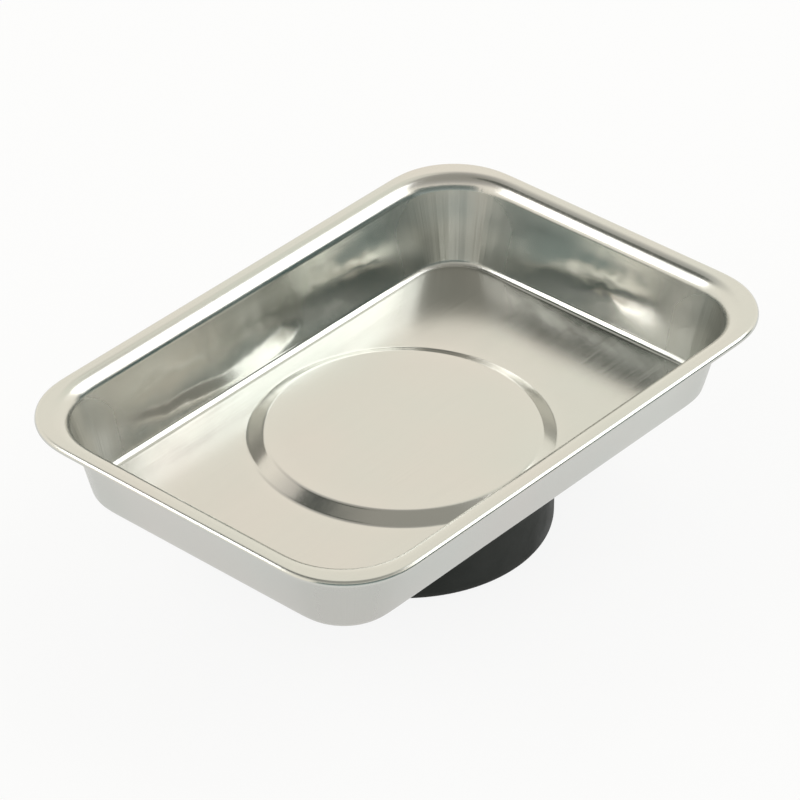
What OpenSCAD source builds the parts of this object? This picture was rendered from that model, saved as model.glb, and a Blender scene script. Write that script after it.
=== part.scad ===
// Magnetic parts tray: a pressed stainless tray that stands on a ring magnet in a rubber boot.
// Origin in the middle of the boot's underside, +Z up, +X along the tray's length, millimetres.

/* [Tray] */
// Overall length over the rim
tray_len = 140; // [112:1:240]
// Overall width over the rim
tray_wid = 96.8; // [94:0.2:180]
// Depth from the top of the rim down to the floor
tray_depth = 19.4; // [12:0.2:32]
// Thickness of the pressed sheet
sheet_t = 0.6; // [0.4:0.1:0.8]
// Plan radius of the rim's outer corners
corner_r = 18; // [10:0.2:40]
// Plan radius of the walls' corners, where they leave the rim
wall_corner_r = 19.6; // [16:0.1:40]
// Slope of the walls from upright, in degrees
wall_draft = 15.5; // [4:0.5:25]
// Radius between walls and floor, on the inside
floor_fillet_r = 1.8; // [1:0.2:6]

/* [Rim] */
// Width of the rim along the sides, from its outer edge to the start of the bend into the wall
rim_w = 2; // [1.9:0.1:10]
// Radius of the bend from rim to wall, on the upper face
rim_bend_r = 4; // [1.1:0.1:5]
// Radius of the rolled outer edge, on the upper face
edge_r = 0.9; // [0.9:0.1:1.8]
// Height of the lip that the outer edge turns down into
lip_h = 1.1; // [1.1:0.1:5]

/* [Seat] */
// Height of the raised magnet seat above the floor
seat_rise = 1.8; // [1.6:0.1:3.2]
// Slope of the seat's side from level, in degrees
seat_slope = 28; // [20:1:42]
// Radius of the seat's two bends, on the upper face
seat_bend_r = 2; // [1:0.1:3.4]
// Room between the magnet's upper edge and the side of the seat
seat_gap = 0.25; // [0.1:0.05:1]

/* [Magnet] */
// Outer diameter of the magnet ring
magnet_d = 60; // [40:1:64]
// Bore of the magnet ring
magnet_bore = 24; // [22:1:32]
// Thickness of the magnet ring
magnet_t = 15; // [12:0.5:25]
// Chamfer on the magnet ring's edges
magnet_chamfer = 1.5; // [0.5:0.1:2.5]

/* [Boot] */
// Thickness of the boot's wall
boot_wall = 2; // [1.5:0.1:5]
// Thickness of the boot's sole under the magnet
boot_sole = 5.2; // [3:0.1:8]
// Radius of the sole's outer edge
boot_edge_r = 0.8; // [0.4:0.1:2]
// Play between the boot and the magnet
boot_fit = 0.1; // [0:0.05:0.5]

/* [Clamp cup] */
// Diameter of the cup's flange
cup_d = 36; // [32:1:50]
// Thickness of the cup's steel
cup_t = 1.5; // [1:0.1:2.5]
// Radius of the cup's bends, on their inside
cup_bend_r = 1; // [0.5:0.1:2]
// Play between the cup and the magnet's bore, and round its flange in the boot
cup_fit = 0.2; // [0.1:0.05:0.5]

/* [Fasteners] */
// Thread diameter of the stud
stud_d = 6; // [4:1:8]
// Diameter of the flange that is welded under the seat
stud_flange_d = 9; // [8:0.5:12]
// Thickness of that flange
stud_flange_t = 1; // [0.6:0.1:2]
// Chamfer on the stud's end
stud_chamfer = 0.7; // [0.3:0.1:1]
// Length of stud that stands out of the nut
stud_proud = 1.2; // [0:0.1:3]
// Height of the stud's end above the sole's face
stud_recess = 2; // [1:0.1:4]
// Nut across its flats
nut_flats = 10; // [8:0.5:13]
// Height of the nut
nut_h = 5; // [3:0.5:7]
// Chamfer on the nut's corners
nut_chamfer = 0.6; // [0.3:0.1:1]
// Diameter of the flat washer
flat_washer_d = 12; // [10:0.5:17]
// Thickness of the flat washer
flat_washer_t = 1.6; // [0.8:0.1:2]
// Diameter of the lock washer
lock_washer_d = 11.8; // [9:0.1:15]
// Thickness of the lock washer
lock_washer_t = 1.6; // [1:0.1:2.2]
// Gap in the lock washer, in degrees
lock_split = 14; // [6:1:30]
// Play between the stud and the holes round it
hole_fit = 0.2; // [0.1:0.05:0.5]
// Play between the stud's thread and the nut's
thread_fit = 0.05; // [0:0.01:0.1]

/* [Hidden] */
$fn = 120;
// Straight steps in each bend of a section
bend_steps = 6;
// Overrun of every cut past the face that it opens
overrun = 1;

// Heights, from the sole upwards
magnet_top_z = boot_sole + magnet_t;
floor_under_z = magnet_top_z - seat_rise;
floor_z = floor_under_z + sheet_t;
seat_z = magnet_top_z + sheet_t;
rim_z = floor_z + tray_depth;

// Rim: the straight runs between the axes of its outer corners
rim_run_x = tray_len - 2 * corner_r;
rim_run_y = tray_wid - 2 * corner_r;

// Walls: the same for their own corners, and the floor's edge measured outwards from a corner axis
wall_run_x = tray_len - 2 * (rim_w + wall_corner_r);
wall_run_y = tray_wid - 2 * (rim_w + wall_corner_r);
wall_bends_r = rim_bend_r + floor_fillet_r;
wall_drop = tray_depth - wall_bends_r * (1 - sin(wall_draft));
floor_edge_x = wall_corner_r - wall_bends_r * cos(wall_draft) - wall_drop * tan(wall_draft);

// Seat: its flat clears the magnet's chamfer at both of the chamfer's edges
magnet_r = magnet_d / 2;
seat_inside_r = seat_bend_r - sheet_t;
seat_bend_fall = seat_inside_r * (1 - cos(seat_slope));
seat_chamfer_run = (magnet_chamfer - seat_bend_fall) / tan(seat_slope) + seat_inside_r * sin(seat_slope);
seat_flat_r = magnet_r + seat_gap - min(magnet_chamfer, seat_chamfer_run);
seat_side_drop = seat_rise - 2 * seat_bend_r * (1 - cos(seat_slope));
seat_foot_r = seat_flat_r + 2 * seat_bend_r * sin(seat_slope) + seat_side_drop / tan(seat_slope);
seat_border_r = seat_foot_r + sheet_t;

// Boot
boot_inside_r = magnet_r + boot_fit;
boot_r = boot_inside_r + boot_wall;

// Clamp cup and what it holds, from the stud's end upwards
cup_outside_r = magnet_bore / 2 - cup_fit;
cup_inside_r = cup_outside_r - cup_t;
cup_mouth_r = cup_outside_r + cup_bend_r;
flange_z = boot_sole - cup_t;
nut_z = stud_recess + stud_proud;
lock_washer_z = nut_z + nut_h;
flat_washer_z = lock_washer_z + lock_washer_t;
cup_web_z = flat_washer_z + flat_washer_t;
hole_r = stud_d / 2 + hole_fit;

// Points along an arc, from one direction to another
function arc(centre, r, from, to) = [
    for (i = [0:bend_steps])
        let (a = from + (to - from) * i / bend_steps)
            centre + r * [cos(a), sin(a)]
];

function backwards(points) = [for (i = [len(points) - 1:-1:0]) points[i]];

// One face of a bent sheet. Each bend is [centre, radius on the upper face, from, to, lower_sign], and
// lower_sign is 1 where the lower face has the larger radius and -1 where it has the smaller one
function bent_face(bends, depth) = [
    for (b = bends) each arc(b[0], b[1] + b[4] * depth, b[2], b[3])
];

// Section of a bent sheet; each end lists the points beyond its bend, as [on the upper face, on the lower face]
module sheet_section(t, first_end, bends, last_end) {
    polygon(concat(
        first_end[0], bent_face(bends, 0), last_end[0],
        last_end[1], backwards(bent_face(bends, t)), first_end[1]
    ));
}

// Lip and rolled edge, up to the flat of the rim; x runs outwards from an axis of the rim's corners
module edge_section() {
    lip_z = rim_z - lip_h;
    sheet_section(
        sheet_t,
        [[[corner_r, lip_z]], [[corner_r - sheet_t, lip_z]]],
        [[[corner_r - edge_r, rim_z - edge_r], edge_r, 0, 90, -1]],
        [[], []]
    );
}

// From the flat of the rim down to the floor; x runs outwards from an axis of the walls' corners
module wall_section() {
    sheet_section(
        sheet_t,
        [[], []],
        [
            [[wall_corner_r, rim_z - rim_bend_r], rim_bend_r, 90, 180 - wall_draft, -1],
            [[floor_edge_x, floor_z + floor_fillet_r], floor_fillet_r, 360 - wall_draft, 270, 1]
        ],
        [[[0, floor_z]], [[0, floor_under_z]]]
    );
}

// One straight side: a section drawn along a run, at a distance from the middle
module side(run, distance) {
    translate([-run / 2, distance, 0])
        rotate([90, 0, 90])
            linear_extrude(run)
                children();
}

// A section carried all the way round, along two runs and about the corner axes between them
module carried_round(run_x, run_y) {
    for (half_turn = [0, 180]) rotate(half_turn) {
        side(run_x, run_y / 2) children();
        rotate(90) side(run_y, run_x / 2) children();
        translate([run_x / 2, run_y / 2, 0])
            rotate_extrude(angle = 90)
                children();
        translate([-run_x / 2, run_y / 2, 0])
            rotate(90)
                rotate_extrude(angle = 90)
                    children();
    }
}

// Plan of a rounded rectangle that lies inside the tray's outline by an inset
module rounded_plan(inset, r) {
    size_x = tray_len - 2 * inset;
    size_y = tray_wid - 2 * inset;
    square([size_x - 2 * r, size_y], center = true);
    square([size_x, size_y - 2 * r], center = true);
    for (x = [-1, 1], y = [-1, 1])
        translate([x * (size_x / 2 - r), y * (size_y / 2 - r)])
            circle(r);
}

// The pan before its middle is raised
module pan() {
    carried_round(rim_run_x, rim_run_y) edge_section();
    translate([0, 0, rim_z - sheet_t])
        linear_extrude(sheet_t)
            difference() {
                rounded_plan(edge_r, corner_r - edge_r);
                rounded_plan(rim_w, wall_corner_r);
            }
    carried_round(wall_run_x, wall_run_y) wall_section();
    translate([-wall_run_x / 2, -wall_run_y / 2, floor_under_z])
        cube([wall_run_x, wall_run_y, sheet_t]);
}

// The raised seat, from its middle out to the flat floor round its foot
module seat_section() {
    sheet_section(
        sheet_t,
        [[[0, seat_z]], [[0, magnet_top_z]]],
        [
            [[seat_flat_r, seat_z - seat_bend_r], seat_bend_r, 90, 90 - seat_slope, -1],
            [[seat_foot_r, floor_z + seat_bend_r], seat_bend_r, 270 - seat_slope, 270, 1]
        ],
        [[[seat_border_r, floor_z]], [[seat_border_r, floor_under_z]]]
    );
}

module tray() {
    color("silver") {
        difference() {
            pan();
            translate([0, 0, floor_under_z - overrun])
                cylinder(h = sheet_t + 2 * overrun, r = seat_border_r);
        }
        rotate_extrude() seat_section();
    }
}

module weld_stud() {
    color("gainsboro") {
        translate([0, 0, magnet_top_z - stud_flange_t])
            cylinder(h = stud_flange_t, d = stud_flange_d);
        translate([0, 0, stud_recess + stud_chamfer])
            cylinder(h = magnet_top_z - stud_recess - stud_chamfer, d = stud_d);
        translate([0, 0, stud_recess])
            cylinder(h = stud_chamfer, d1 = stud_d - 2 * stud_chamfer, d2 = stud_d);
    }
}

module magnet_ring() {
    bore_r = magnet_bore / 2;
    low_z = boot_sole;
    high_z = magnet_top_z;
    color("dimgray")
        rotate_extrude()
            polygon([
                [bore_r + magnet_chamfer, low_z], [magnet_r - magnet_chamfer, low_z],
                [magnet_r, low_z + magnet_chamfer], [magnet_r, high_z - magnet_chamfer],
                [magnet_r - magnet_chamfer, high_z], [bore_r + magnet_chamfer, high_z],
                [bore_r, high_z - magnet_chamfer], [bore_r, low_z + magnet_chamfer]
            ]);
}

// Flange, bend up into the magnet's bore, wall, bend in, and the web that the nut pulls on
module cup_section() {
    sheet_section(
        cup_t,
        [[[cup_d / 2, boot_sole]], [[cup_d / 2, flange_z]]],
        [
            [[cup_mouth_r, boot_sole + cup_bend_r], cup_bend_r, 270, 180, 1],
            [[cup_inside_r - cup_bend_r, cup_web_z - cup_bend_r], cup_bend_r + cup_t, 0, 90, -1]
        ],
        [[[hole_r, cup_web_z + cup_t]], [[hole_r, cup_web_z]]]
    );
}

module clamp_cup() {
    color("lightgray")
        rotate_extrude() cup_section();
}

module flat_washer() {
    color("lightgray")
        translate([0, 0, flat_washer_z])
            difference() {
                cylinder(h = flat_washer_t, d = flat_washer_d);
                translate([0, 0, -overrun])
                    cylinder(h = flat_washer_t + 2 * overrun, r = hole_r);
            }
}

module lock_washer() {
    color("gray")
        translate([0, 0, lock_washer_z])
            rotate(lock_split / 2)
                rotate_extrude(angle = 360 - lock_split)
                    translate([hole_r, 0])
                        square([lock_washer_d / 2 - hole_r, lock_washer_t]);
}

module hex_nut() {
    corner_d = nut_flats / cos(30);
    rim_r = corner_d / 2;
    color("lightgray")
        translate([0, 0, nut_z])
            difference() {
                intersection() {
                    cylinder(h = nut_h, d = corner_d, $fn = 6);
                    rotate_extrude()
                        polygon([
                            [0, 0], [rim_r - nut_chamfer, 0], [rim_r, nut_chamfer],
                            [rim_r, nut_h - nut_chamfer], [rim_r - nut_chamfer, nut_h], [0, nut_h]
                        ]);
                }
                translate([0, 0, -overrun])
                    cylinder(h = nut_h + 2 * overrun, r = stud_d / 2 + thread_fit);
            }
}

// Sole and wall, with the pocket for the cup's flange and the hole that reaches the nut
module boot_section() {
    pocket_r = cup_d / 2 + cup_fit;
    polygon(concat(
        [[cup_mouth_r, 0]],
        arc([boot_r - boot_edge_r, boot_edge_r], boot_edge_r, 270, 360),
        [
            [boot_r, floor_under_z], [boot_inside_r, floor_under_z], [boot_inside_r, boot_sole],
            [pocket_r, boot_sole], [pocket_r, flange_z], [cup_mouth_r, flange_z]
        ]
    ));
}

module rubber_boot() {
    color("#2b2d2c")
        rotate_extrude() boot_section();
}

tray();
weld_stud();
magnet_ring();
clamp_cup();
flat_washer();
lock_washer();
hex_nut();
rubber_boot();
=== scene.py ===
"""Magnetic parts tray: a pressed stainless tray on a ring magnet in a rubber boot, in a plain studio.

Sizes of the pieces are in millimetres, from the boot's sole upwards, and become metres in a mesh.
The studio and the materials are in metres.
"""

import math

import bpy
import numpy as np
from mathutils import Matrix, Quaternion, Vector


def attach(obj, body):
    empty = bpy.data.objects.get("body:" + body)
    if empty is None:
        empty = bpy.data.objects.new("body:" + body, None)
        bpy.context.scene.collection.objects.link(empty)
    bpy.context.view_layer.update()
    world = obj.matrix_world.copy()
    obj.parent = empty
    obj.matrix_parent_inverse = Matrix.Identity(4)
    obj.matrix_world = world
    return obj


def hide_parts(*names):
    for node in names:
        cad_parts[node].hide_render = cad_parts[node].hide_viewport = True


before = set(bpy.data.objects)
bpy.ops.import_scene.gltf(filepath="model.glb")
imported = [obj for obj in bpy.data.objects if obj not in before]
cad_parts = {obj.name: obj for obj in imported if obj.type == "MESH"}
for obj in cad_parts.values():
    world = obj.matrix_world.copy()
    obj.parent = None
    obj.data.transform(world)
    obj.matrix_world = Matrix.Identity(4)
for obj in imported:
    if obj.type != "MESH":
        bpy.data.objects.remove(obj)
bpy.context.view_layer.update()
MM = 0.001

# Tray
TRAY_LEN, TRAY_WID, TRAY_DEPTH, SHEET_T = 140.0, 96.8, 19.4, 0.6
CORNER_R, WALL_CORNER_R = 18.0, 19.6
WALL_DRAFT = math.radians(15.5)
FLOOR_FILLET_R, RIM_W, RIM_BEND_R, EDGE_R, LIP_H = 1.8, 2.0, 4.0, 0.9, 1.1
LIP_BURR_R, WALL_BOW = 0.15, 0.16
# Distance from a corner at which the corner's streaks and painted shade are full, and at which they end
CORNER_CORE, CORNER_REACH = 6.0, 28.0
# Seat and boot
SEAT_SLOPE, SEAT_BEND_R, SEAT_RISE = math.radians(28), 2.0, 1.8
MAGNET_R, MAGNET_BORE_R, MAGNET_T, MAGNET_CHAMFER, SEAT_GAP = 30.0, 12.0, 15.0, 1.5, 0.25
BOOT_SOLE, BOOT_EDGE_R, BOOT_WALL, BOOT_FIT = 5.2, 0.8, 2.0, 0.1
# Clamp cup and stud
CUP_R, CUP_T, CUP_BEND_R, CUP_FIT = 18.0, 1.5, 1.0, 0.2
CUP_WEB_Z, CUP_BURR_R, HOLE_R = 11.4, 0.2, 3.2
STUD_R, STUD_ROOT_R, STUD_PITCH, STUD_END_Z, STUD_CHAMFER = 3.0, 2.5, 1.0, 2.0, 0.7
STUD_FLANGE_R, STUD_FLANGE_T, STUD_SHANK, STUD_RUNOUT = 4.5, 1.0, 4.0, 0.3

# Rows of the tray's grid, from the middle of the seat to the lip
SEAT_RINGS = np.array([0.04, 0.3, 0.6, 0.85])
SEAT_BEND_ROWS, SEAT_SIDE_ROWS, FLOOR_ROWS, FOOT_ROWS, WALL_ROWS = 9, 4, 10, 16, 16
NECK_ROWS, FLANGE_ROWS, ROLL_ROWS, LIP_ROWS, BURR_ROWS = 14, 6, 14, 2, 5
# Rows above the wall's foot that are fully drawn, and over which the polish, and the corner's streaks and painted
# shade, then fade
DRAWN_ROWS, POLISH_FADE_ROWS, CORNER_FADE_ROWS = 10, 10, 12
# Shares of the drawing polish on the seat's step, at the wall's foot and on the lower face
SEAT_POLISH, FOOT_POLISH, UNDERSIDE_POLISH = 0.3, 0.4, 0.4
# Steps round a plan: along a long side, a short side and a corner, and finer ones in each of the corner's
LONG_STEPS, SHORT_STEPS, CORNER_STEPS, FINE_STEPS = 44, 30, 40, 40
# Rows of the boot's softened corners and the runs between, of the cup's bends and burrs, and of the thread
SOFT_ARC_ROWS, SOFT_RUN_ROWS = 5, 3
CUP_TIGHT_ROWS, CUP_WIDE_ROWS, CUP_BURR_ROWS = 10, 12, 4
THREAD_ROWS = 170
BOOT_COLUMNS, CUP_COLUMNS, STUD_COLUMNS = 160, 120, 72

MAGNET_TOP_Z = BOOT_SOLE + MAGNET_T
FLOOR_UNDER_Z = MAGNET_TOP_Z - SEAT_RISE
FLOOR_Z = FLOOR_UNDER_Z + SHEET_T
SEAT_Z = MAGNET_TOP_Z + SHEET_T
RIM_Z = FLOOR_Z + TRAY_DEPTH
WALL_BENDS_R = RIM_BEND_R + FLOOR_FILLET_R
WALL_DROP = TRAY_DEPTH - WALL_BENDS_R * (1 - math.sin(WALL_DRAFT))
FLOOR_EDGE_X = WALL_CORNER_R - WALL_BENDS_R * math.cos(WALL_DRAFT) - WALL_DROP * math.tan(WALL_DRAFT)
SEAT_INSIDE_R = SEAT_BEND_R - SHEET_T
SEAT_CHAMFER_RUN = (
    (MAGNET_CHAMFER - SEAT_INSIDE_R * (1 - math.cos(SEAT_SLOPE))) / math.tan(SEAT_SLOPE)
    + SEAT_INSIDE_R * math.sin(SEAT_SLOPE)
)
SEAT_FLAT_R = MAGNET_R + SEAT_GAP - min(MAGNET_CHAMFER, SEAT_CHAMFER_RUN)
SEAT_SIDE_DROP = SEAT_RISE - 2 * SEAT_BEND_R * (1 - math.cos(SEAT_SLOPE))
SEAT_FOOT_R = SEAT_FLAT_R + 2 * SEAT_BEND_R * math.sin(SEAT_SLOPE) + SEAT_SIDE_DROP / math.tan(SEAT_SLOPE)

# Studio: the camera, and directions from the object that its screens and lamps are placed by
CAMERA_AZ, CAMERA_EL, CAMERA_DIST = math.radians(-48.77), math.radians(34.85), 0.94317
CAMERA_LENS, CAMERA_SENSOR = 201.15, 36
AIM = Vector((0.00601, 0.00603, 0.022))
BACK = Vector((
    math.sin(CAMERA_AZ) * math.cos(CAMERA_EL),
    -math.cos(CAMERA_AZ) * math.cos(CAMERA_EL),
    math.sin(CAMERA_EL),
))
RIGHT = Vector((math.cos(CAMERA_AZ), math.sin(CAMERA_AZ), 0))
AWAY = Vector((-math.sin(CAMERA_AZ), math.cos(CAMERA_AZ), 0))
UP = Vector((0, 0, 1))
FLOOR_HALF, LAMP_DIST, LAMP_AIM_Z, SCREEN_DIST = 4.0, 0.9, 0.03, 1.6
# Shares of the floor's white that are its own where the camera sees it, and where metal mirrors it
SEEN_SHARE, MIRRORED_SHARE = 0.88, 0.72


def link(name, data):
    """A new object in the scene, at the origin."""
    obj = bpy.data.objects.new(name, data)
    bpy.context.scene.collection.objects.link(obj)
    return obj


def closed_grid(name, points, normals, first_pole=None, last_pole=None):
    """A mesh from rows of points, each row a closed ring, with a fan to a pole at either end.

    points and normals have the shape (rows, columns, 3), and the section runs with the solid on its left.
    Where no poles are given, the last row joins the first, as on a ring.
    """
    rows, columns = points.shape[:2]
    index = np.arange(rows * columns).reshape(rows, columns)
    around = np.roll(index, -1, axis=1)
    verts, vert_normals = points.reshape(-1, 3), normals.reshape(-1, 3)
    if first_pole is None:
        below, below_around = np.roll(index, -1, axis=0), np.roll(around, -1, axis=0)
        quads = np.stack([index, around, below_around, below], axis=-1).reshape(-1, 4)
        faces = quads.tolist()
    else:
        quads = np.stack([index[:-1], around[:-1], around[1:], index[1:]], axis=-1).reshape(-1, 4)
        top, bottom = len(verts), len(verts) + 1
        fan_top = np.stack([np.full(columns, top), around[0], index[0]], axis=-1)
        fan_bottom = np.stack([np.full(columns, bottom), index[-1], around[-1]], axis=-1)
        verts = np.vstack([verts, first_pole[0], last_pole[0]])
        vert_normals = np.vstack([vert_normals, first_pole[1], last_pole[1]])
        faces = quads.tolist() + fan_top.tolist() + fan_bottom.tolist()
    mesh = bpy.data.meshes.new(name)
    mesh.from_pydata((verts * MM).tolist(), [], faces)
    mesh.polygons.foreach_set("use_smooth", np.ones(len(faces), bool))
    mesh.validate()
    mesh.normals_split_custom_set_from_vertices(vert_normals.tolist())
    mesh.update()
    return link(name, mesh)


def arc(centre, r, start, end, steps, turned_in=False):
    """Points on a circle between two directions in degrees; the normals point out, or in where turned_in."""
    a = np.radians(np.linspace(start, end, steps))
    outward = np.stack([np.cos(a), np.sin(a)], axis=1)
    return np.array(centre) + r * outward, -outward if turned_in else outward


def straight(start, end, normal, steps):
    """Points between two ends, the ends left out, all with one normal."""
    t = np.linspace(0, 1, steps + 2)[1:-1, None]
    return np.array(start) * (1 - t) + np.array(end) * t, np.tile(np.array(normal, float), (steps, 1))


def bowed(run, side, rise):
    """A straight run moved to one side by a rise times the squared sine of half a turn along it.

    So it leaves and meets its ends unturned. side is a unit vector across the run, and the normals turn
    with the slope.
    """
    points, normals = run
    t = np.linspace(0, 1, len(points) + 2)[1:-1, None]
    along = points[-1] - points[0]
    inner_length = np.linalg.norm(along)
    along, length = along / inner_length, inner_length * (len(points) + 1) / (len(points) - 1)
    slope = rise * math.pi * np.sin(2 * math.pi * t) / length
    facing = np.sign(normals @ side)[:, None]
    turned_normals = facing * (side - slope * along)
    return (points + rise * np.sin(math.pi * t) ** 2 * side,
            turned_normals / np.linalg.norm(turned_normals, axis=1, keepdims=True))


def joined(*runs):
    """Runs of section points and normals, one after another."""
    return np.vstack([run[0] for run in runs]), np.vstack([run[1] for run in runs])


def plan_ring(corner_r, run_x, run_y):
    """Axis points and outward directions round a rounded rectangle; the axis lies a corner radius inside it.

    Along a side the direction stays. Through a corner it turns by 90 degrees, and the turning per length
    rises and falls over a fifth of the way, so that a mirror image runs smoothly from side to corner.
    The corner is as blunt as a plain arc of that radius.
    """
    eased = 0.2
    u = np.linspace(0, 1, FINE_STEPS * CORNER_STEPS + 1)
    turning = np.clip(np.minimum(u, 1 - u) / eased, 0, 1)
    turn = np.concatenate([[0], np.cumsum(turning[1:] + turning[:-1])])
    turn *= math.pi / 2 / turn[-1]
    ahead = np.stack([-np.sin(turn), np.cos(turn)], axis=1)
    path = np.vstack([[0, 0], np.cumsum(ahead[1:] + ahead[:-1], axis=0)])
    bluntness = np.linalg.norm(path[len(u) // 2] - [0, path[-1, 1]])
    path = path[::FINE_STEPS] * (math.sqrt(2) - 1) * corner_r / bluntness
    turn = turn[::FINE_STEPS]
    half = np.array([run_x, run_y]) / 2 + corner_r
    outlines, turns = [], []
    for k in range(4):
        reach_x, reach_y = half if k % 2 == 0 else half[::-1]
        start = math.pi / 2 * k
        quarter = np.round([[math.cos(start), math.sin(start)], [-math.sin(start), math.cos(start)]])
        around = np.array([reach_x, reach_y - path[-1, 1]]) + path
        steps = LONG_STEPS if k % 2 == 0 else SHORT_STEPS
        side_end = np.array([path[-1, 1] - reach_x, reach_y])
        t = np.linspace(0, 1, steps + 1)[1:-1, None]
        side = around[-1] * (1 - t) + side_end * t
        outlines.append(np.vstack([around, side]) @ quarter)
        turns.append(np.concatenate([turn, np.full(len(side), math.pi / 2)]) + start)
    a = np.concatenate(turns)
    outward = np.stack([np.cos(a), np.sin(a)], axis=1)
    return np.vstack(outlines) - corner_r * outward, outward


def carried(section, axes, outward):
    """A section carried round a ring: its x along the ring's outward direction, its y upwards."""
    xz, normal = section
    points = np.empty((len(xz), len(axes), 3))
    normals = np.empty_like(points)
    points[:, :, :2] = axes[None] + xz[:, 0, None, None] * outward[None]
    points[:, :, 2] = xz[:, 1, None]
    normals[:, :, :2] = normal[:, 0, None, None] * outward[None]
    normals[:, :, 2] = normal[:, 1, None]
    return points, normals


def flat_between(from_row, to_row, steps, up):
    """Flat rows between two rings at one height, by straight lines from ring to ring."""
    t = np.linspace(0, 1, steps + 2)[1:-1, None, None]
    points = from_row[None] * (1 - t) + to_row[None] * t
    normals = np.zeros_like(points)
    normals[:, :, 2] = up
    return points, normals


def up_the_wall(at_foot, fade_rows):
    """Shares from the wall's foot to the rim: rising over the foot, full, fading, then none."""
    bare_rows = WALL_ROWS + NECK_ROWS - DRAWN_ROWS - fade_rows
    return np.concatenate([
        np.linspace(at_foot, 1, FOOT_ROWS), np.ones(DRAWN_ROWS), np.linspace(1, 0, fade_rows),
        np.zeros(bare_rows),
    ])


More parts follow.
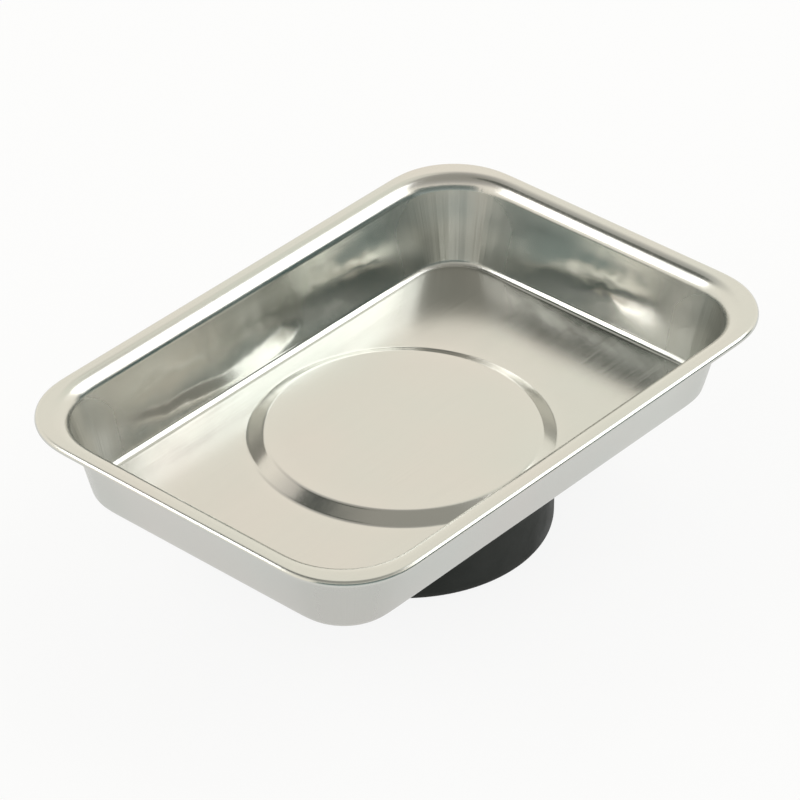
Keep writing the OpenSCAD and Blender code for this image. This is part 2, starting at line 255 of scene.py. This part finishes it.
def pressed_tray():
    """The whole pressing as one closed sheet: the lower face from the middle of the seat out to the lip,
    round the lip's cut edge, and the upper face back to the middle.

    Each face is a section with exact bends, carried round the rim's corners, round the walls' own corners,
    and for the seat round the middle. The mesh keeps three values for its finish: how far a point was drawn
    over the die, how far it lies in a corner, which is streaked and painted darker as shade, and which way the
    wall faces there.
    """
    draft, slope = math.degrees(WALL_DRAFT), math.degrees(SEAT_SLOPE)
    rim_axes, rim_out = plan_ring(CORNER_R, TRAY_LEN - 2 * CORNER_R, TRAY_WID - 2 * CORNER_R)
    wall_in = RIM_W + WALL_CORNER_R
    wall_axes, wall_out = plan_ring(WALL_CORNER_R, TRAY_LEN - 2 * wall_in, TRAY_WID - 2 * wall_in)
    lip_z = RIM_Z - LIP_H

    def face(depth):
        """Rows of one face, at a depth below the upper one, from the seat's middle to the lip's edge."""
        up = 1 if depth == 0 else -1

        def bend(centre, r, start, end, steps, hollow):
            """An arc of this face; the lower one lies further out on a hollow bend, further in on a round one."""
            run = arc(centre, r + (depth if hollow else -depth), start, end, steps, hollow)
            return run[0], run[1] * up

        seat_top = (SEAT_FLAT_R, SEAT_Z - SEAT_BEND_R)
        seat_bend = bend(seat_top, SEAT_BEND_R, 90, 90 - slope, SEAT_BEND_ROWS, False)
        seat_low = (SEAT_FOOT_R, FLOOR_Z + SEAT_BEND_R)
        seat_foot = bend(seat_low, SEAT_BEND_R, 270 - slope, 270, SEAT_BEND_ROWS, True)
        seat_side = straight(seat_bend[0][-1], seat_foot[0][0], seat_bend[1][-1], SEAT_SIDE_ROWS)
        wall_low = (FLOOR_EDGE_X, FLOOR_Z + FLOOR_FILLET_R)
        foot = bend(wall_low, FLOOR_FILLET_R, 270, 360 - draft, FOOT_ROWS, True)
        neck = bend((WALL_CORNER_R, RIM_Z - RIM_BEND_R), RIM_BEND_R, 180 - draft, 90, NECK_ROWS, False)
        flat_wall = straight(foot[0][-1], neck[0][0], foot[1][-1], WALL_ROWS)
        wall = bowed(flat_wall, foot[1][-1] * up, WALL_BOW)
        roll = bend((CORNER_R - EDGE_R, RIM_Z - EDGE_R), EDGE_R, 90, 0, ROLL_ROWS, False)
        lip_end = (CORNER_R - depth, lip_z + LIP_BURR_R)
        lip = straight(roll[0][-1], lip_end, roll[1][-1], LIP_ROWS)
        wall_rows = carried(joined(foot, wall, neck), wall_axes, wall_out)
        rim_rows = carried(joined(roll, lip), rim_axes, rim_out)
        floor_edge = wall_rows[0][0]
        angle = np.arctan2(floor_edge[:, 1], floor_edge[:, 0])
        middle, spoke = np.zeros((len(angle), 2)), np.stack([np.cos(angle), np.sin(angle)], axis=1)
        seat_rows = carried(joined(seat_bend, seat_side, seat_foot), middle, spoke)
        disc = seat_rows[0][0][None] * SEAT_RINGS[:, None, None]
        disc[:, :, 2] = seat_rows[0][0, 0, 2]
        disc_normals = np.zeros_like(disc)
        disc_normals[:, :, 2] = up
        floor = flat_between(seat_rows[0][-1], floor_edge, FLOOR_ROWS, up)
        flange = flat_between(wall_rows[0][-1], rim_rows[0][0], FLANGE_ROWS, up)
        parts = [(disc, disc_normals), seat_rows, floor, wall_rows, flange, rim_rows]
        on_disc, on_seat = np.zeros(len(disc)), np.zeros(len(seat_rows[0]))
        on_floor, on_rim = np.zeros(FLOOR_ROWS), np.zeros(FLANGE_ROWS + len(rim_rows[0]))
        polish = up_the_wall(FOOT_POLISH, POLISH_FADE_ROWS)
        drawn = np.concatenate([on_disc, on_seat + SEAT_POLISH, on_floor, polish, on_rim])
        # The corner share up the wall: it carries the streaks and the painted corner shade
        streaks = up_the_wall(0, CORNER_FADE_ROWS)
        corner_streaks_and_shade = np.concatenate([on_disc, on_seat, on_floor, streaks, on_rim])
        points, normals = joined(*parts)
        return points, normals, np.stack([drawn, corner_streaks_and_shade])

    upper, upper_normals, upper_shares = face(0)
    lower, lower_normals, lower_shares = face(SHEET_T)
    burr_z = lip_z + LIP_BURR_R
    outer_burr = arc((CORNER_R - LIP_BURR_R, burr_z), LIP_BURR_R, 0, -90, BURR_ROWS)
    inner_burr = arc((CORNER_R - SHEET_T + LIP_BURR_R, burr_z), LIP_BURR_R, -90, -180, BURR_ROWS)
    edge, edge_normals = carried(joined(outer_burr, inner_burr), rim_axes, rim_out)
    points = np.concatenate([lower, edge[::-1], upper[::-1]])
    normals = np.concatenate([lower_normals, edge_normals[::-1], upper_normals[::-1]])
    piece = closed_grid(
        "pressed_tray", points, normals,
        ([0, 0, MAGNET_TOP_Z], [0, 0, -1]), ([0, 0, SEAT_Z], [0, 0, 1]),
    )
    edge_shares, pole_shares = np.zeros((2, len(edge))), [0.0, 0.0]
    shares = np.hstack([lower_shares * UNDERSIDE_POLISH, edge_shares, upper_shares[:, ::-1]])
    drawn = np.append(np.repeat(shares[0], points.shape[1]), pole_shares)
    ring = wall_axes + WALL_CORNER_R / 2 * wall_out
    from_corner = np.linalg.norm(np.abs(ring).max(axis=0) - np.abs(ring), axis=1)
    corner = np.clip((CORNER_REACH - from_corner) / (CORNER_REACH - CORNER_CORE), 0, 1) ** 2
    cornered = np.append((shares[1][:, None] * corner[None]).ravel(), pole_shares)
    facing = np.zeros((len(drawn), 3))
    facing[:-2, :2] = np.tile(wall_out, (len(points), 1))
    for name, kind, field, values in (
        ("drawn_share", "FLOAT", "value", drawn),
        ("corner_share", "FLOAT", "value", cornered),
        ("facing", "FLOAT_VECTOR", "vector", facing.ravel()),
    ):
        attribute = piece.data.attributes.new(name, kind, "POINT")
        attribute.data.foreach_set(field, values.astype(np.float32))
    return piece


def turned(name, section, columns):
    """A closed section turned once round the upright middle line; it runs with the solid on its left."""
    axes = np.zeros((columns, 2))
    a = np.linspace(0, 2 * math.pi, columns, endpoint=False)
    points, normals = carried(section, axes, np.stack([np.cos(a), np.sin(a)], axis=1))
    return closed_grid(name, points, normals)


def softened(corners):
    """A closed section from corners (x, z, radius): straight runs, joined by arcs tangent to both."""
    corners = np.array(corners, float)
    places, radii = corners[:, :2], corners[:, 2]
    runs = []
    for here, before, after, radius in zip(places, np.roll(places, 1, 0), np.roll(places, -1, 0), radii):
        u, v = before - here, after - here
        u, v = u / np.linalg.norm(u), v / np.linalg.norm(v)
        half = math.acos(np.clip(u @ v, -1, 1)) / 2
        bisector = (u + v) / np.linalg.norm(u + v)
        centre = here + bisector * radius / math.sin(half)
        convex = u[0] * v[1] - u[1] * v[0] < 0
        foot_u, foot_v = here + u * radius / math.tan(half), here + v * radius / math.tan(half)
        a0 = math.degrees(math.atan2(*(foot_u - centre)[::-1]))
        a1 = math.degrees(math.atan2(*(foot_v - centre)[::-1]))
        sweep = (a1 - a0 + 180) % 360 - 180
        runs.append(arc(centre, radius, a0, a0 + sweep, SOFT_ARC_ROWS, not convex))
    full = []
    for run, after in zip(runs, runs[1:] + runs[:1]):
        full += [run, straight(run[0][-1], after[0][0], run[1][-1], SOFT_RUN_ROWS)]
    return joined(*full)


def rubber_cover():
    """The boot's section, sole and wall with the pocket for the cup and all corners soft, turned round."""
    inside, outside = MAGNET_R + BOOT_FIT, MAGNET_R + BOOT_FIT + BOOT_WALL
    mouth = MAGNET_BORE_R - CUP_FIT + CUP_BEND_R
    pocket, ledge = CUP_R + CUP_FIT, BOOT_SOLE - CUP_T
    section = softened([
        (mouth, 0, 0.4), (outside, 0, BOOT_EDGE_R),
        (outside, FLOOR_UNDER_Z, 0.15), (inside, FLOOR_UNDER_Z, 0.15),
        (inside, BOOT_SOLE, 0.1), (pocket, BOOT_SOLE, 0.2),
        (pocket, ledge, 0.1), (mouth, ledge, 0.2),
    ])
    return turned("rubber_cover", section, BOOT_COLUMNS)


def dished_plate():
    """The clamp cup: flange, bend up, wall, bend in and web as one strip of even thickness, turned round."""
    outside = MAGNET_BORE_R - CUP_FIT
    inside, mouth, low = outside - CUP_T, outside + CUP_BEND_R, BOOT_SOLE - CUP_T
    foot = (mouth, BOOT_SOLE + CUP_BEND_R)
    shoulder = (inside - CUP_BEND_R, CUP_WEB_Z - CUP_BEND_R)
    upper = joined(
        arc(foot, CUP_BEND_R, 270, 180, CUP_TIGHT_ROWS, True),
        arc(shoulder, CUP_BEND_R + CUP_T, 0, 90, CUP_WIDE_ROWS),
    )
    under = joined(
        arc(foot, CUP_BEND_R + CUP_T, 270, 180, CUP_WIDE_ROWS, True),
        arc(shoulder, CUP_BEND_R, 0, 90, CUP_TIGHT_ROWS),
    )
    burr = CUP_BURR_R
    rim = joined(
        arc((CUP_R - burr, low + burr), burr, -90, 0, CUP_BURR_ROWS),
        arc((CUP_R - burr, BOOT_SOLE - burr), burr, 0, 90, CUP_BURR_ROWS),
    )
    eye = joined(
        arc((HOLE_R + burr, CUP_WEB_Z + CUP_T - burr), burr, 90, 180, CUP_BURR_ROWS),
        arc((HOLE_R + burr, CUP_WEB_Z + burr), burr, 180, 270, CUP_BURR_ROWS),
    )
    section = joined(rim, upper, eye, (under[0][::-1], -under[1][::-1]))
    return turned("dished_plate", section, CUP_COLUMNS)


def threaded_stud():
    """A stud whose radius at height z and angle a is the root plus a clipped triangle wave of
    z / pitch - a / turn, narrowed to a cone at the end and left plain under its welded flange."""
    a = np.linspace(0, 2 * math.pi, STUD_COLUMNS, endpoint=False)
    flange_z = MAGNET_TOP_Z - STUD_FLANGE_T
    thread_top = flange_z - STUD_SHANK
    z = np.concatenate([
        [STUD_END_Z], np.linspace(STUD_END_Z, thread_top, THREAD_ROWS),
        [thread_top + STUD_RUNOUT, flange_z, flange_z, MAGNET_TOP_Z, MAGNET_TOP_Z],
    ])
    phase = (z[:, None] / STUD_PITCH - a[None] / (2 * math.pi)) % 1
    # The wave is a little taller than the thread, so that crests and roots come out flat
    crest = np.clip(1.25 * (1 - np.abs(2 * phase - 1)) - 0.1, 0, 1)
    r = STUD_ROOT_R + (STUD_R - STUD_ROOT_R) * crest
    r = np.minimum(r, STUD_R - STUD_CHAMFER + (z[:, None] - STUD_END_Z))
    # A ring on the end face at half its radius, then the plain shank, the flange's side and a ring on its top
    r[0] *= 0.5
    r[-5:-3] = STUD_R
    r[-3:-1] = STUD_FLANGE_R
    r[-1] = STUD_R
    points = np.stack([r * np.cos(a), r * np.sin(a), np.broadcast_to(z[:, None], r.shape)], axis=-1)
    along, across = np.gradient(points, axis=0), np.roll(points, -1, 1) - np.roll(points, 1, 1)
    normals = np.cross(across, along)
    normals[0], normals[-2:] = (0, 0, -1), (0, 0, 1)
    normals /= np.linalg.norm(normals, axis=-1, keepdims=True)
    return closed_grid(
        "threaded_stud", points, normals,
        ([0, 0, STUD_END_Z], [0, 0, -1]), ([0, 0, MAGNET_TOP_Z], [0, 0, 1]),
    )


def colour_ramp(tree, value, stops):
    """A ramp in a node tree through stops (position, colour); gives its colour."""
    node = tree.nodes.new("ShaderNodeValToRGB")
    while len(node.color_ramp.elements) < len(stops):
        node.color_ramp.elements.new(0.5)
    for element, (at, colour) in zip(node.color_ramp.elements, stops):
        element.position, element.color = at, (*colour, 1)
    tree.links.new(value, node.inputs[0])
    return node.outputs[0]


class Finish:
    """A node material: a Principled shader and short ways to put textures into its sockets."""

    def __init__(self, name, **constants):
        self.material = bpy.data.materials.new(name)
        self.material.use_nodes = True
        self.tree = self.material.node_tree
        self.tree.nodes.clear()
        out = self.tree.nodes.new("ShaderNodeOutputMaterial")
        self.shader = self.tree.nodes.new("ShaderNodeBsdfPrincipled")
        self.tree.links.new(self.shader.outputs["BSDF"], out.inputs["Surface"])
        for socket, value in constants.items():
            self.shader.inputs[socket.replace("_", " ")].default_value = value
        self.place = self.tree.nodes.new("ShaderNodeTexCoord").outputs["Object"]

    def put(self, kind, inputs=None, output=0, **settings):
        """A new node with its settings, and sockets or plain values put into its inputs; gives one output."""
        node = self.tree.nodes.new("ShaderNode" + kind)
        for key, value in settings.items():
            setattr(node, key, value)
        for key, value in (inputs or {}).items():
            if isinstance(value, bpy.types.NodeSocket):
                self.tree.links.new(value, node.inputs[key])
            else:
                node.inputs[key].default_value = value
        return node.outputs[output]

    def stretched(self, scale, turn=0.0):
        return self.put("Mapping", {"Vector": self.place, "Scale": scale, "Rotation": (0, 0, turn)})

    def attribute(self, name, output="Fac"):
        """A value that the mesh carries at its points."""
        return self.put("Attribute", output=output, attribute_name=name)

    def noise(self, scale, detail, rough, place=None):
        """Noise with a number of waves per metre, on Object coordinates where no other place is given."""
        return self.put("TexNoise", {
            "Vector": place or self.place, "Scale": scale, "Detail": detail, "Roughness": rough,
        })

    def level(self, value, low, high, to_low, to_high):
        """A value's range from low to high, stretched to another range and held at its ends."""
        return self.put("MapRange", {0: value, 1: low, 2: high, 3: to_low, 4: to_high}, clamp=True)

    def ramp(self, value, stops):
        return colour_ramp(self.tree, value, stops)

    def sums(self, kind, a, b):
        return self.put("Math", {0: a, 1: b}, operation=kind)

    def blend(self, share, a, b):
        return self.put("Mix", {"Factor": share, "A": a, "B": b}, data_type="FLOAT")

    def tinted(self, share, a, b):
        """A colour between two colours, in the places where the Mix node keeps its sockets for colours."""
        return self.put("Mix", {0: share, 6: a, 7: b}, 2, data_type="RGBA")

    def bump(self, height, strength, distance, normal=None):
        inputs = {"Height": height, "Strength": strength, "Distance": distance}
        if normal is not None:
            inputs["Normal"] = normal
        return self.put("Bump", inputs)

    def send(self, socket, value):
        """Links a value to the shader."""
        self.tree.links.new(value, self.shader.inputs[socket])

    def show(self, surface):
        """Puts another surface in the shader's place."""
        self.tree.links.new(surface, self.tree.nodes["Material Output"].inputs["Surface"])


def satin_stainless():
    """Satin pressed stainless: rolling grain along the length of the flats, walls that the drawing die has
    polished and left faintly rippled, and duller corners with streaks up the way they were drawn, whose colour is
    painted darker as shade."""
    f = Finish("satin_stainless", Metallic=1.0)
    drawn, corner = f.attribute("drawn_share"), f.attribute("corner_share")
    facing = f.attribute("facing", "Vector")
    grain = f.noise(1.0, 4.0, 0.6, f.stretched((40, 3800, 1500)))
    cloud = f.noise(38.0, 3.0, 0.5)
    clean = f.ramp(f.noise(24.0, 2.0, 0.5), [
        (0.35, (0.634, 0.617, 0.588)), (0.5, (0.622, 0.62, 0.59)), (0.65, (0.608, 0.62, 0.59)),
    ])
    # Painted shade: the base colour is blended towards a dark grey where the corner share is high
    corner_shade, painted_corner_shade_colour = f.level(corner, 0, 0.9, 0, 0.6), (0.42, 0.435, 0.415, 1)
    f.send("Base Color", f.tinted(corner_shade, clean, painted_corner_shade_colour))
    flat = f.level(grain, 0.3, 0.7, 0.17, 0.24)
    polished = f.level(cloud, 0.3, 0.7, 0.05, 0.14)
    smeared, smeared_roughness = f.level(corner, 0, 0.5, 0, 1), 0.31
    f.send("Roughness", f.blend(smeared, f.blend(drawn, flat, polished), smeared_roughness))
    swell = f.bump(f.noise(21.0, 1.5, 0.4), f.level(drawn, 0, 1, 0.02, 0.9), 0.0012)
    ripple = f.bump(f.noise(95.0, 2.0, 0.4), f.level(drawn, 0, 1, 0.01, 0.6), 0.0004, swell)
    streaks = f.bump(f.noise(7.0, 3.0, 0.5, facing), f.level(corner, 0, 0.6, 0, 0.5), 0.0005, ripple)
    f.send("Normal", f.bump(grain, f.level(corner, 0, 0.4, 0.03, 0), 0.00005, streaks))
    return f.material


def moulded_rubber():
    """Black moulded rubber: fine mould grain, and grey dust and rubbing towards the sole's edge."""
    f = Finish("moulded_rubber", Specular_IOR_Level=0.35)
    grain = f.noise(1500.0, 2.0, 0.6)
    cloud = f.noise(120.0, 4.0, 0.6)
    height = f.put("SeparateXYZ", {0: f.place}, 2)
    near_sole, patchy = f.level(height, 0.0, 0.0016, 0.8, 0.0), f.level(cloud, 0.35, 0.7, 0.2, 1.0)
    black, dusty = (0.0125, 0.0155, 0.0125, 1), (0.062, 0.062, 0.060, 1)
    f.send("Base Color", f.tinted(f.sums("MULTIPLY", near_sole, patchy), black, dusty))
    f.send("Roughness", f.level(cloud, 0.3, 0.7, 0.48, 0.66))
    f.send("Normal", f.bump(grain, 0.25, 0.00008))
    return f.material


def plated_steel(name, low, high, rough):
    """Plated or plain steel: a clouded tint, and roughness and fine pits from noise."""
    f = Finish(name, Metallic=1.0)
    cloud = f.noise(260.0, 4.0, 0.6)
    pits = f.noise(2400.0, 2.0, 0.6)
    f.send("Base Color", f.ramp(cloud, [(0.32, low), (0.68, high)]))
    f.send("Roughness", f.level(cloud, 0.3, 0.7, rough - 0.07, rough + 0.08))
    f.send("Normal", f.bump(pits, 0.12, 0.00005))
    return f.material


def ground_ferrite():
    """Sintered ferrite: charcoal grey with grinding lines and pale specks."""
    f = Finish("ground_ferrite", Metallic=0.25)
    lines = f.noise(1.0, 3.0, 0.6, f.stretched((60, 3200, 60), 0.4))
    specks = f.noise(1900.0, 1.0, 0.5)
    f.send("Base Color", f.ramp(specks, [(0.5, (0.045, 0.045, 0.048)), (0.72, (0.085, 0.085, 0.088))]))
    f.send("Roughness", f.level(lines, 0.3, 0.7, 0.42, 0.62))
    f.send("Normal", f.bump(lines, 0.15, 0.00005))
    return f.material


def clothe(piece, material, slot, *nodes):
    """Gives a new piece its finish, puts it on the object's only body and lets it stand for CAD nodes."""
    piece.data.materials.clear()
    piece.data.materials.append(material)
    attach(piece, "root")
    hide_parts(*nodes)


def pale_floor():
    """A wide flat white floor. Part of its white is its own, one share where the camera sees it and one where
    metal mirrors it, and the rest is lit, so that its shadow stays, but pale."""
    mesh = bpy.data.meshes.new("floor")
    corners = np.array([(-1, -1, 0), (1, -1, 0), (1, 1, 0), (-1, 1, 0)]) * FLOOR_HALF
    mesh.from_pydata(corners.tolist(), [], [(0, 1, 2, 3)])
    f = Finish("floor_white", Roughness=0.9, Specular_IOR_Level=0.1)
    f.shader.inputs["Base Color"].default_value = (0.93, 0.93, 0.925, 1)
    path = f.tree.nodes.new("ShaderNodeLightPath").outputs
    seen = f.sums("ADD", path["Is Camera Ray"], path["Is Transmission Ray"])
    seen_white = f.sums("MULTIPLY", seen, SEEN_SHARE)
    mirrored_white = f.sums("MULTIPLY", path["Is Glossy Ray"], MIRRORED_SHARE)
    share = f.sums("ADD", seen_white, mirrored_white)
    own_white = f.put("Emission", {"Color": (1, 1, 1, 1), "Strength": 1.0})
    f.show(f.put("MixShader", {0: share, 1: f.shader.outputs[0], 2: own_white}))
    mesh.materials.append(f.material)
    link("floor", mesh)


def sky(turn, height):
    """Unit directions, by degrees turned from the camera's side to the right and degrees above the floor."""
    t, h = np.radians(turn), np.radians(height)
    flat = -np.cos(t)[..., None] * np.array(AWAY) + np.sin(t)[..., None] * np.array(RIGHT)
    return flat * np.cos(h)[..., None] + np.sin(h)[..., None] * np.array(UP)


def studio_screen(name, turns, heights, shade):
    """A screen of one shade that metal mirrors, but that isn't seen itself and casts no shadow.

    It is a grid of directions, all at one distance; turns and heights are each given as (first, last, count).
    """
    directions = sky(*np.meshgrid(np.linspace(*turns), np.linspace(*heights)))
    rows, columns = directions.shape[:2]
    index = np.arange(rows * columns).reshape(rows, columns)
    quads = np.stack([index[:-1, :-1], index[:-1, 1:], index[1:, 1:], index[1:, :-1]], axis=-1)
    mesh = bpy.data.meshes.new(name)
    mesh.from_pydata((directions.reshape(-1, 3) * SCREEN_DIST).tolist(), [], quads.reshape(-1, 4).tolist())
    f = Finish(name, Roughness=1.0)
    f.show(f.put("Emission", {"Color": (*shade, 1), "Strength": 1.0}))
    mesh.materials.append(f.material)
    flag = link(name, mesh)
    flag.visible_camera = flag.visible_shadow = flag.visible_transmission = False


def softbox(name, way, size, power, lean):
    """A rectangular lamp in a direction from the object, facing it and leaning over by so many degrees."""
    lamp = bpy.data.lights.new(name, "AREA")
    lamp.shape, lamp.size, lamp.size_y, lamp.energy = "RECTANGLE", size[0], size[1], power
    obj = link(name, lamp)
    obj.location = Vector(way) * LAMP_DIST + Vector((0, 0, LAMP_AIM_Z))
    obj.rotation_mode = "QUATERNION"
    facing = (-Vector(way)).to_track_quat("-Z", "Y")
    obj.rotation_quaternion = facing @ Quaternion((0, 0, 1), math.radians(lean))


stainless = satin_stainless()
rubber = moulded_rubber()
zinc = plated_steel("zinc_plate", (0.55, 0.57, 0.60), (0.68, 0.68, 0.66), 0.30)
spring = plated_steel("spring_steel", (0.26, 0.26, 0.27), (0.36, 0.36, 0.37), 0.36)
clothe(pressed_tray(), stainless, "stainless", "tray")
clothe(rubber_cover(), rubber, "rubber", "rubber_boot")
clothe(dished_plate(), zinc, "zinc_steel", "clamp_cup")
clothe(threaded_stud(), zinc, "zinc_steel", "weld_stud")
for node, material in (
    ("flat_washer", zinc), ("hex_nut", zinc), ("lock_washer", spring), ("magnet_ring", ground_ferrite()),
):
    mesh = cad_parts[node].data
    mesh.materials.clear()
    mesh.materials.append(material)

pale_floor()
camera = link("camera", bpy.data.cameras.new("camera"))
camera.location = AIM + BACK * CAMERA_DIST
camera.rotation_mode = "QUATERNION"
camera.rotation_quaternion = (-BACK).to_track_quat("-Z", "Y")
camera.data.lens, camera.data.sensor_width = CAMERA_LENS, CAMERA_SENSOR
bpy.context.scene.camera = camera

# Lamps for the bright lines along the rim, and screens for the walls to mirror
softbox("right_box", sky(108, 39), (0.30, 0.78), 1.5, -46)
softbox("left_box", sky(-86, 36), (0.13, 0.63), 0.8, 35)
studio_screen("camera_side", (-35, 72, 25), (17, 41, 7), (0.17, 0.215, 0.205))
studio_screen("camera_side_low", (-35, 66, 25), (1, 17, 5), (0.45, 0.53, 0.51))
studio_screen("low_right", (66, 112, 13), (1, 21, 7), (0.075, 0.125, 0.12))
studio_screen("high_left", (-134, -100, 13), (53, 78, 7), (0.06, 0.07, 0.06))
studio_screen("behind_right", (137, 174, 9), (42, 58, 5), (1.0, 1.0, 0.89))

# The sky is bright and slightly warm up to 40 degrees, and dims towards the zenith
world = bpy.data.worlds.new("studio")
bpy.context.scene.world = world
world.use_nodes = True
nodes, links = world.node_tree.nodes, world.node_tree.links
upward = nodes.new("ShaderNodeSeparateXYZ")
links.new(nodes.new("ShaderNodeTexCoord").outputs["Generated"], upward.inputs[0])
dimming = colour_ramp(world.node_tree, upward.outputs["Z"], [
    (0.64, (1.14, 1.09, 0.975)), (0.82, (0.57, 0.56, 0.52)), (0.95, (0.42, 0.415, 0.37)),
])
links.new(dimming, nodes["Background"].inputs["Color"])

bpy.context.scene.view_settings.view_transform = "Standard"
